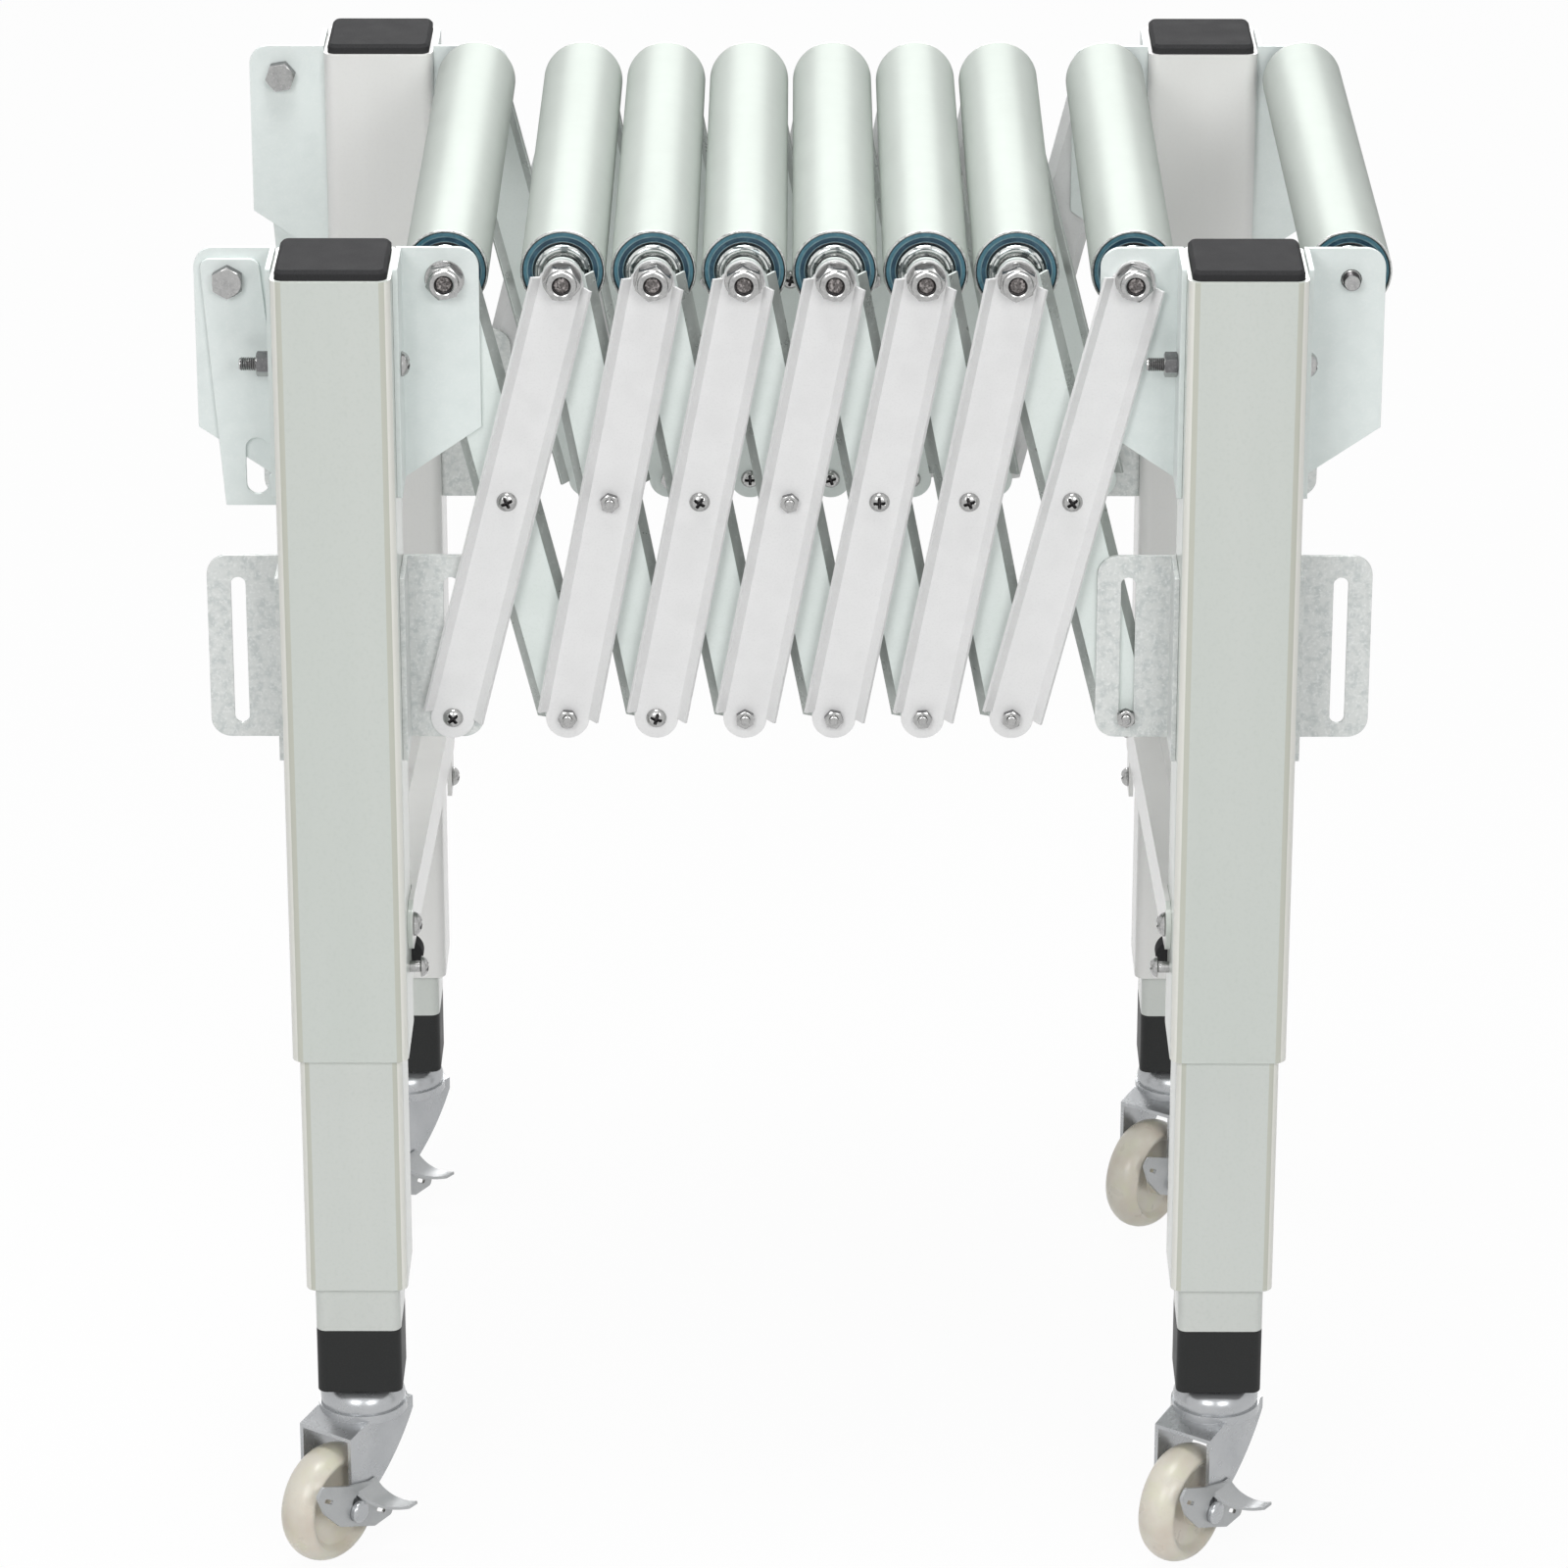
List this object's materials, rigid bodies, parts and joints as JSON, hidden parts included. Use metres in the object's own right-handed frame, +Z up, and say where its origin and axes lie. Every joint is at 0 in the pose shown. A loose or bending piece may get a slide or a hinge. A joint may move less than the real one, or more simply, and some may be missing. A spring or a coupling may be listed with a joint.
{
  "type": "flexible gravity roller conveyor section",
  "caption": "Short flexible gravity roller conveyor with scissor lattice sides, telescopic square legs on braked swivel casters, and coupling hooks.",
  "frame": {"origin": "on the floor, midway between the four legs", "axes": "+X along the conveyor, towards the end whose ninth roller lies outside the legs; +Y from the near side to the far side; +Z up"},
  "size_m": [0.699, 0.5775, 0.839],
  "materials": {
    "leg_steel": "satin zinc-plated steel tube",
    "black_plastic": "moulded, matt",
    "bracket_plate": "zinc-plated sheet with a fine grain",
    "bright_fasteners": "bright zinc",
    "lattice_steel": "galvanised sheet",
    "roller_steel": "smooth zinc-plated tube",
    "caster_steel": "stamped, satin zinc",
    "wheel_nylon": "ivory nylon, slightly translucent"
  },
  "bodies": {
    "left_end": {"left_leg_frame": "leg_steel", "left_caps_and_guides": "black_plastic", "left_brackets": "bracket_plate", "left_fasteners": "bright_fasteners"},
    "right_end": {"right_leg_frame": "leg_steel", "right_caps_and_guides": "black_plastic", "right_brackets": "bracket_plate", "right_fasteners": "bright_fasteners"},
    "inner_bars_1": {"inner_bars_1": "lattice_steel"},
    "outer_bars_1": {"outer_bars_1": "lattice_steel", "axle_set_1": "bright_fasteners"},
    "inner_bars_2": {"inner_bars_2": "lattice_steel"},
    "outer_bars_2": {"outer_bars_2": "lattice_steel", "axle_set_2": "bright_fasteners"},
    "inner_bars_3": {"inner_bars_3": "lattice_steel"},
    "outer_bars_3": {"outer_bars_3": "lattice_steel", "axle_set_3": "bright_fasteners"},
    "inner_bars_4": {"inner_bars_4": "lattice_steel"},
    "outer_bars_4": {"outer_bars_4": "lattice_steel", "axle_set_4": "bright_fasteners"},
    "inner_bars_5": {"inner_bars_5": "lattice_steel"},
    "outer_bars_5": {"outer_bars_5": "lattice_steel", "axle_set_5": "bright_fasteners"},
    "inner_bars_6": {"inner_bars_6": "lattice_steel"},
    "outer_bars_6": {"outer_bars_6": "lattice_steel", "axle_set_6": "bright_fasteners"},
    "inner_bars_7": {"inner_bars_7": "lattice_steel"},
    "outer_bars_7": {"outer_bars_7": "lattice_steel", "axle_set_7": "bright_fasteners"},
    "roller_1": {"roller_1": "roller_steel"},
    "roller_2": {"roller_2": "roller_steel"},
    "roller_3": {"roller_3": "roller_steel"},
    "roller_4": {"roller_4": "roller_steel"},
    "roller_5": {"roller_5": "roller_steel"},
    "roller_6": {"roller_6": "roller_steel"},
    "roller_7": {"roller_7": "roller_steel"},
    "roller_8": {"roller_8": "roller_steel"},
    "roller_9": {"roller_9": "roller_steel"},
    "mid_tube_near_left": {"mid_tube_near_left": "leg_steel"},
    "inner_tube_near_left": {"inner_tube_near_left": "leg_steel"},
    "caster_fork_near_left": {"caster_fork_near_left": "caster_steel"},
    "caster_wheel_near_left": {"caster_wheel_near_left": "wheel_nylon"},
    "brake_pedal_near_left": {"brake_pedal_near_left": "caster_steel"},
    "mid_tube_near_right": {"mid_tube_near_right": "leg_steel"},
    "inner_tube_near_right": {"inner_tube_near_right": "leg_steel"},
    "caster_fork_near_right": {"caster_fork_near_right": "caster_steel"},
    "caster_wheel_near_right": {"caster_wheel_near_right": "wheel_nylon"},
    "brake_pedal_near_right": {"brake_pedal_near_right": "caster_steel"},
    "mid_tube_far_left": {"mid_tube_far_left": "leg_steel"},
    "inner_tube_far_left": {"inner_tube_far_left": "leg_steel"},
    "caster_fork_far_left": {"caster_fork_far_left": "caster_steel"},
    "caster_wheel_far_left": {"caster_wheel_far_left": "wheel_nylon"},
    "brake_pedal_far_left": {"brake_pedal_far_left": "caster_steel"},
    "mid_tube_far_right": {"mid_tube_far_right": "leg_steel"},
    "inner_tube_far_right": {"inner_tube_far_right": "leg_steel"},
    "caster_fork_far_right": {"caster_fork_far_right": "caster_steel"},
    "caster_wheel_far_right": {"caster_wheel_far_right": "wheel_nylon"},
    "brake_pedal_far_right": {"brake_pedal_far_right": "caster_steel"},
    "coupling_hook_near": {"coupling_hook_near": "bracket_plate"},
    "coupling_hook_far": {"coupling_hook_far": "bracket_plate"}
  },
  "joints": [
    {"name": "pivot_top_1", "type": "hinge", "parent": "left_end", "child": "inner_bars_1", "pos_m": [-0.201, 0, 0.814], "axis": [0, -1, 0], "range_deg": [0, 33.2]},
    {"name": "pivot_middle_1", "type": "hinge", "parent": "inner_bars_1", "child": "outer_bars_1", "pos_m": [-0.16675, 0, 0.677], "axis": [0, -1, 0], "range_deg": [-66.2, 0]},
    {"name": "pivot_top_2", "type": "hinge", "parent": "outer_bars_1", "child": "inner_bars_2", "pos_m": [-0.1325, 0, 0.814], "axis": [0, -1, 0], "range_deg": [0, 69]},
    {"name": "pivot_middle_2", "type": "hinge", "parent": "inner_bars_2", "child": "outer_bars_2", "pos_m": [-0.106, 0, 0.677], "axis": [0, -1, 0], "range_deg": [-71.7, 0]},
    {"name": "pivot_top_3", "type": "hinge", "parent": "outer_bars_2", "child": "inner_bars_3", "pos_m": [-0.0795, 0, 0.814], "axis": [0, -1, 0], "range_deg": [0, 71.7]},
    {"name": "pivot_middle_3", "type": "hinge", "parent": "inner_bars_3", "child": "outer_bars_3", "pos_m": [-0.053, 0, 0.677], "axis": [0, -1, 0], "range_deg": [-71.7, 0]},
    {"name": "pivot_top_4", "type": "hinge", "parent": "outer_bars_3", "child": "inner_bars_4", "pos_m": [-0.0265, 0, 0.814], "axis": [0, -1, 0], "range_deg": [0, 71.7]},
    {"name": "pivot_middle_4", "type": "hinge", "parent": "inner_bars_4", "child": "outer_bars_4", "pos_m": [0, 0, 0.677], "axis": [0, -1, 0], "range_deg": [-71.7, 0]},
    {"name": "pivot_top_5", "type": "hinge", "parent": "outer_bars_4", "child": "inner_bars_5", "pos_m": [0.0265, 0, 0.814], "axis": [0, -1, 0], "range_deg": [0, 71.7]},
    {"name": "pivot_middle_5", "type": "hinge", "parent": "inner_bars_5", "child": "outer_bars_5", "pos_m": [0.053, 0, 0.677], "axis": [0, -1, 0], "range_deg": [-71.7, 0]},
    {"name": "pivot_top_6", "type": "hinge", "parent": "outer_bars_5", "child": "inner_bars_6", "pos_m": [0.0795, 0, 0.814], "axis": [0, -1, 0], "range_deg": [0, 71.7]},
    {"name": "pivot_middle_6", "type": "hinge", "parent": "inner_bars_6", "child": "outer_bars_6", "pos_m": [0.106, 0, 0.677], "axis": [0, -1, 0], "range_deg": [-71.7, 0]},
    {"name": "pivot_top_7", "type": "hinge", "parent": "outer_bars_6", "child": "inner_bars_7", "pos_m": [0.1325, 0, 0.814], "axis": [0, -1, 0], "range_deg": [0, 69]},
    {"name": "pivot_middle_7", "type": "hinge", "parent": "inner_bars_7", "child": "outer_bars_7", "pos_m": [0.16675, 0, 0.677], "axis": [0, -1, 0], "range_deg": [-66.2, 0]},
    {"name": "pivot_top_8", "type": "hinge", "parent": "outer_bars_7", "child": "right_end", "pos_m": [0.201, 0, 0.814], "axis": [0, -1, 0], "range_deg": [0, 33]},
    {"name": "roller_spin_1", "type": "hinge", "parent": "left_end", "child": "roller_1", "pos_m": [-0.201, 0, 0.814], "axis": [0, -1, 0], "continuous": true},
    {"name": "roller_spin_2", "type": "hinge", "parent": "outer_bars_1", "child": "roller_2", "pos_m": [-0.1325, 0, 0.814], "axis": [0, -1, 0], "continuous": true},
    {"name": "roller_spin_3", "type": "hinge", "parent": "outer_bars_2", "child": "roller_3", "pos_m": [-0.0795, 0, 0.814], "axis": [0, -1, 0], "continuous": true},
    {"name": "roller_spin_4", "type": "hinge", "parent": "outer_bars_3", "child": "roller_4", "pos_m": [-0.0265, 0, 0.814], "axis": [0, -1, 0], "continuous": true},
    {"name": "roller_spin_5", "type": "hinge", "parent": "outer_bars_4", "child": "roller_5", "pos_m": [0.0265, 0, 0.814], "axis": [0, -1, 0], "continuous": true},
    {"name": "roller_spin_6", "type": "hinge", "parent": "outer_bars_5", "child": "roller_6", "pos_m": [0.0795, 0, 0.814], "axis": [0, -1, 0], "continuous": true},
    {"name": "roller_spin_7", "type": "hinge", "parent": "outer_bars_6", "child": "roller_7", "pos_m": [0.1325, 0, 0.814], "axis": [0, -1, 0], "continuous": true},
    {"name": "roller_spin_8", "type": "hinge", "parent": "outer_bars_7", "child": "roller_8", "pos_m": [0.201, 0, 0.814], "axis": [0, -1, 0], "continuous": true},
    {"name": "roller_spin_9", "type": "hinge", "parent": "right_end", "child": "roller_9", "pos_m": [0.327, 0, 0.814], "axis": [0, -1, 0], "continuous": true},
    {"name": "mid_slide_near_left", "type": "slide", "parent": "left_end", "child": "mid_tube_near_left", "axis": [0, 0, 1], "range_m": [0, 0.15]},
    {"name": "inner_slide_near_left", "type": "slide", "parent": "mid_tube_near_left", "child": "inner_tube_near_left", "axis": [0, 0, 1], "range_m": [-0.12, 0.028]},
    {"name": "swivel_near_left", "type": "hinge", "parent": "inner_tube_near_left", "child": "caster_fork_near_left", "pos_m": [-0.264, -0.235, 0.1], "axis": [0, 0, 1], "continuous": true},
    {"name": "wheel_spin_near_left", "type": "hinge", "parent": "caster_fork_near_left", "child": "caster_wheel_near_left", "pos_m": [-0.28465, -0.26449, 0.0375], "axis": [0.8192, -0.5736, 0], "continuous": true},
    {"name": "pedal_tilt_near_left", "type": "hinge", "parent": "caster_fork_near_left", "child": "brake_pedal_near_left", "pos_m": [-0.28465, -0.26449, 0.0375], "axis": [0.8192, -0.5736, 0], "range_deg": [0, 18]},
    {"name": "mid_slide_near_right", "type": "slide", "parent": "right_end", "child": "mid_tube_near_right", "axis": [0, 0, 1], "range_m": [0, 0.15]},
    {"name": "inner_slide_near_right", "type": "slide", "parent": "mid_tube_near_right", "child": "inner_tube_near_right", "axis": [0, 0, 1], "range_m": [-0.12, 0.028]},
    {"name": "swivel_near_right", "type": "hinge", "parent": "inner_tube_near_right", "child": "caster_fork_near_right", "pos_m": [0.264, -0.235, 0.1], "axis": [0, 0, 1], "continuous": true},
    {"name": "wheel_spin_near_right", "type": "hinge", "parent": "caster_fork_near_right", "child": "caster_wheel_near_right", "pos_m": [0.24335, -0.26449, 0.0375], "axis": [0.8192, -0.5736, 0], "continuous": true},
    {"name": "pedal_tilt_near_right", "type": "hinge", "parent": "caster_fork_near_right", "child": "brake_pedal_near_right", "pos_m": [0.24335, -0.26449, 0.0375], "axis": [0.8192, -0.5736, 0], "range_deg": [0, 18]},
    {"name": "mid_slide_far_left", "type": "slide", "parent": "left_end", "child": "mid_tube_far_left", "axis": [0, 0, 1], "range_m": [0, 0.15]},
    {"name": "inner_slide_far_left", "type": "slide", "parent": "mid_tube_far_left", "child": "inner_tube_far_left", "axis": [0, 0, 1], "range_m": [-0.12, 0.028]},
    {"name": "swivel_far_left", "type": "hinge", "parent": "inner_tube_far_left", "child": "caster_fork_far_left", "pos_m": [-0.264, 0.235, 0.1], "axis": [0, 0, 1], "continuous": true},
    {"name": "wheel_spin_far_left", "type": "hinge", "parent": "caster_fork_far_left", "child": "caster_wheel_far_left", "pos_m": [-0.28465, 0.20551, 0.0375], "axis": [0.8192, -0.5736, 0], "continuous": true},
    {"name": "pedal_tilt_far_left", "type": "hinge", "parent": "caster_fork_far_left", "child": "brake_pedal_far_left", "pos_m": [-0.28465, 0.20551, 0.0375], "axis": [0.8192, -0.5736, 0], "range_deg": [0, 18]},
    {"name": "mid_slide_far_right", "type": "slide", "parent": "right_end", "child": "mid_tube_far_right", "axis": [0, 0, 1], "range_m": [0, 0.15]},
    {"name": "inner_slide_far_right", "type": "slide", "parent": "mid_tube_far_right", "child": "inner_tube_far_right", "axis": [0, 0, 1], "range_m": [-0.12, 0.028]},
    {"name": "swivel_far_right", "type": "hinge", "parent": "inner_tube_far_right", "child": "caster_fork_far_right", "pos_m": [0.264, 0.235, 0.1], "axis": [0, 0, 1], "continuous": true},
    {"name": "wheel_spin_far_right", "type": "hinge", "parent": "caster_fork_far_right", "child": "caster_wheel_far_right", "pos_m": [0.24335, 0.20551, 0.0375], "axis": [0.8192, -0.5736, 0], "continuous": true},
    {"name": "pedal_tilt_far_right", "type": "hinge", "parent": "caster_fork_far_right", "child": "brake_pedal_far_right", "pos_m": [0.24335, 0.20551, 0.0375], "axis": [0.8192, -0.5736, 0], "range_deg": [0, 18]},
    {"name": "hook_swing_near", "type": "hinge", "parent": "left_end", "child": "coupling_hook_near", "pos_m": [-0.327, -0.2154, 0.814], "axis": [0, 1, 0], "range_deg": [0, 95]},
    {"name": "hook_swing_far", "type": "hinge", "parent": "left_end", "child": "coupling_hook_far", "pos_m": [-0.327, 0.2154, 0.814], "axis": [0, 1, 0], "range_deg": [0, 95]}
  ],
  "couplings": [
    {"joint": "pivot_top_1", "follows": "pivot_top_8", "ratio": 1},
    {"joint": "pivot_middle_1", "follows": "pivot_top_8", "ratio": -2},
    {"joint": "pivot_top_2", "follows": "pivot_top_8", "ratio": 2.084},
    {"joint": "pivot_middle_2", "follows": "pivot_top_8", "ratio": -2.168},
    {"joint": "pivot_top_3", "follows": "pivot_top_8", "ratio": 2.168},
    {"joint": "pivot_middle_3", "follows": "pivot_top_8", "ratio": -2.168},
    {"joint": "pivot_top_4", "follows": "pivot_top_8", "ratio": 2.168},
    {"joint": "pivot_middle_4", "follows": "pivot_top_8", "ratio": -2.168},
    {"joint": "pivot_top_5", "follows": "pivot_top_8", "ratio": 2.168},
    {"joint": "pivot_middle_5", "follows": "pivot_top_8", "ratio": -2.168},
    {"joint": "pivot_top_6", "follows": "pivot_top_8", "ratio": 2.168},
    {"joint": "pivot_middle_6", "follows": "pivot_top_8", "ratio": -2.168},
    {"joint": "pivot_top_7", "follows": "pivot_top_8", "ratio": 2.084},
    {"joint": "pivot_middle_7", "follows": "pivot_top_8", "ratio": -2}
  ]
}
